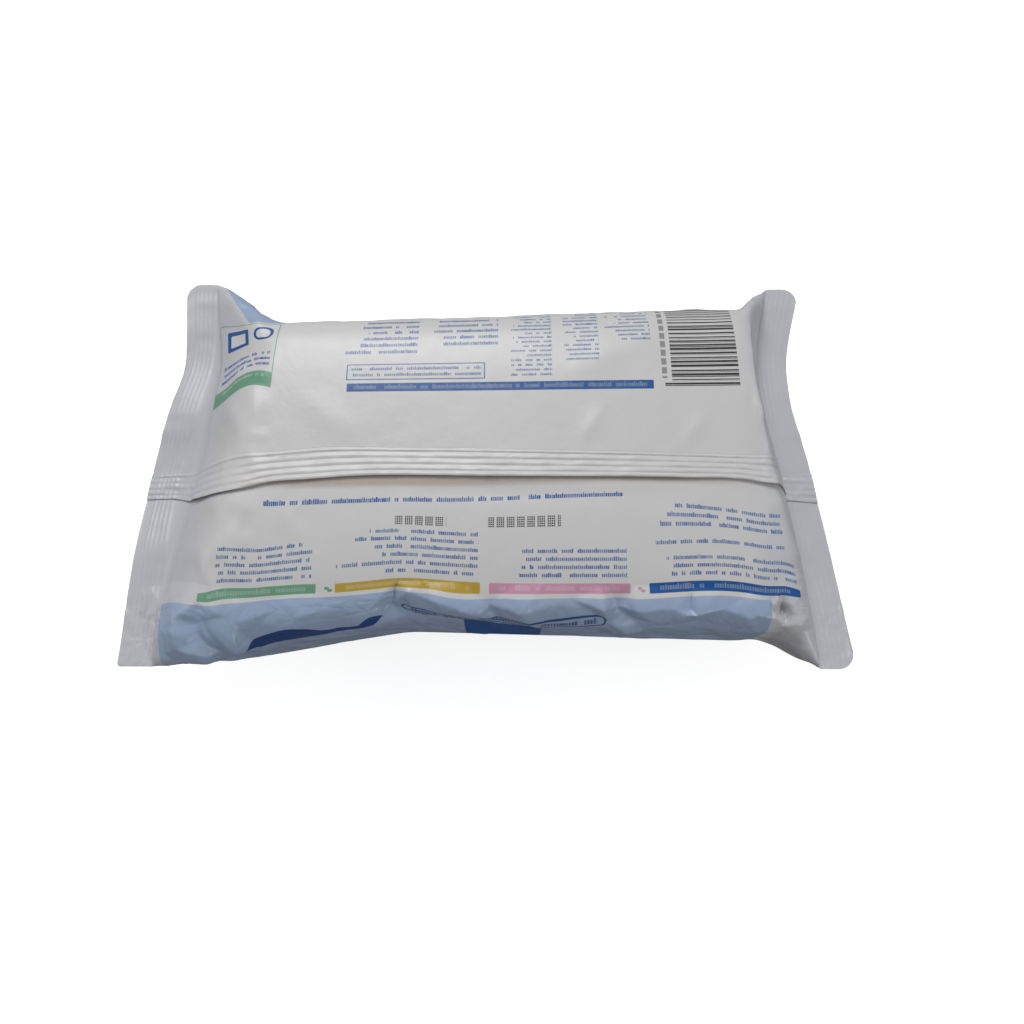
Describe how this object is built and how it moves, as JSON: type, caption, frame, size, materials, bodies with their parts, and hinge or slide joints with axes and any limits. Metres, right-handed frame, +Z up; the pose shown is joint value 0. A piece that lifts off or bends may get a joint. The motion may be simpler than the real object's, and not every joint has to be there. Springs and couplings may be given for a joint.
{
  "type": "wet wipes pack",
  "caption": "Sealed plastic-film pack of wet wipes lying face down on its flip-top lid, with ribbed end seals and a folded back seam.",
  "frame": {"origin": "on the surface the pack lies on, below the middle of its bounding box", "axes": "+X along the pack from one end seal to the other, +Y from the near wall to the far wall, +Z up, out of the pack's back"},
  "size_m": [0.2158, 0.132, 0.0523],
  "materials": {
    "printed_film": "satin white film with pale blue and coloured print fields",
    "lid_plastic": "smooth white moulded plastic"
  },
  "bodies": {
    "wrapper": {"pack": "printed_film", "lid_frame": "lid_plastic"},
    "lid": {"lid_cover": "lid_plastic"}
  },
  "joints": [
    {"name": "lid_hinge", "type": "hinge", "parent": "wrapper", "child": "lid", "pos_m": [0, 0.031, 0.00685], "axis": [1, 0, 0], "range_deg": [0, 105]}
  ]
}
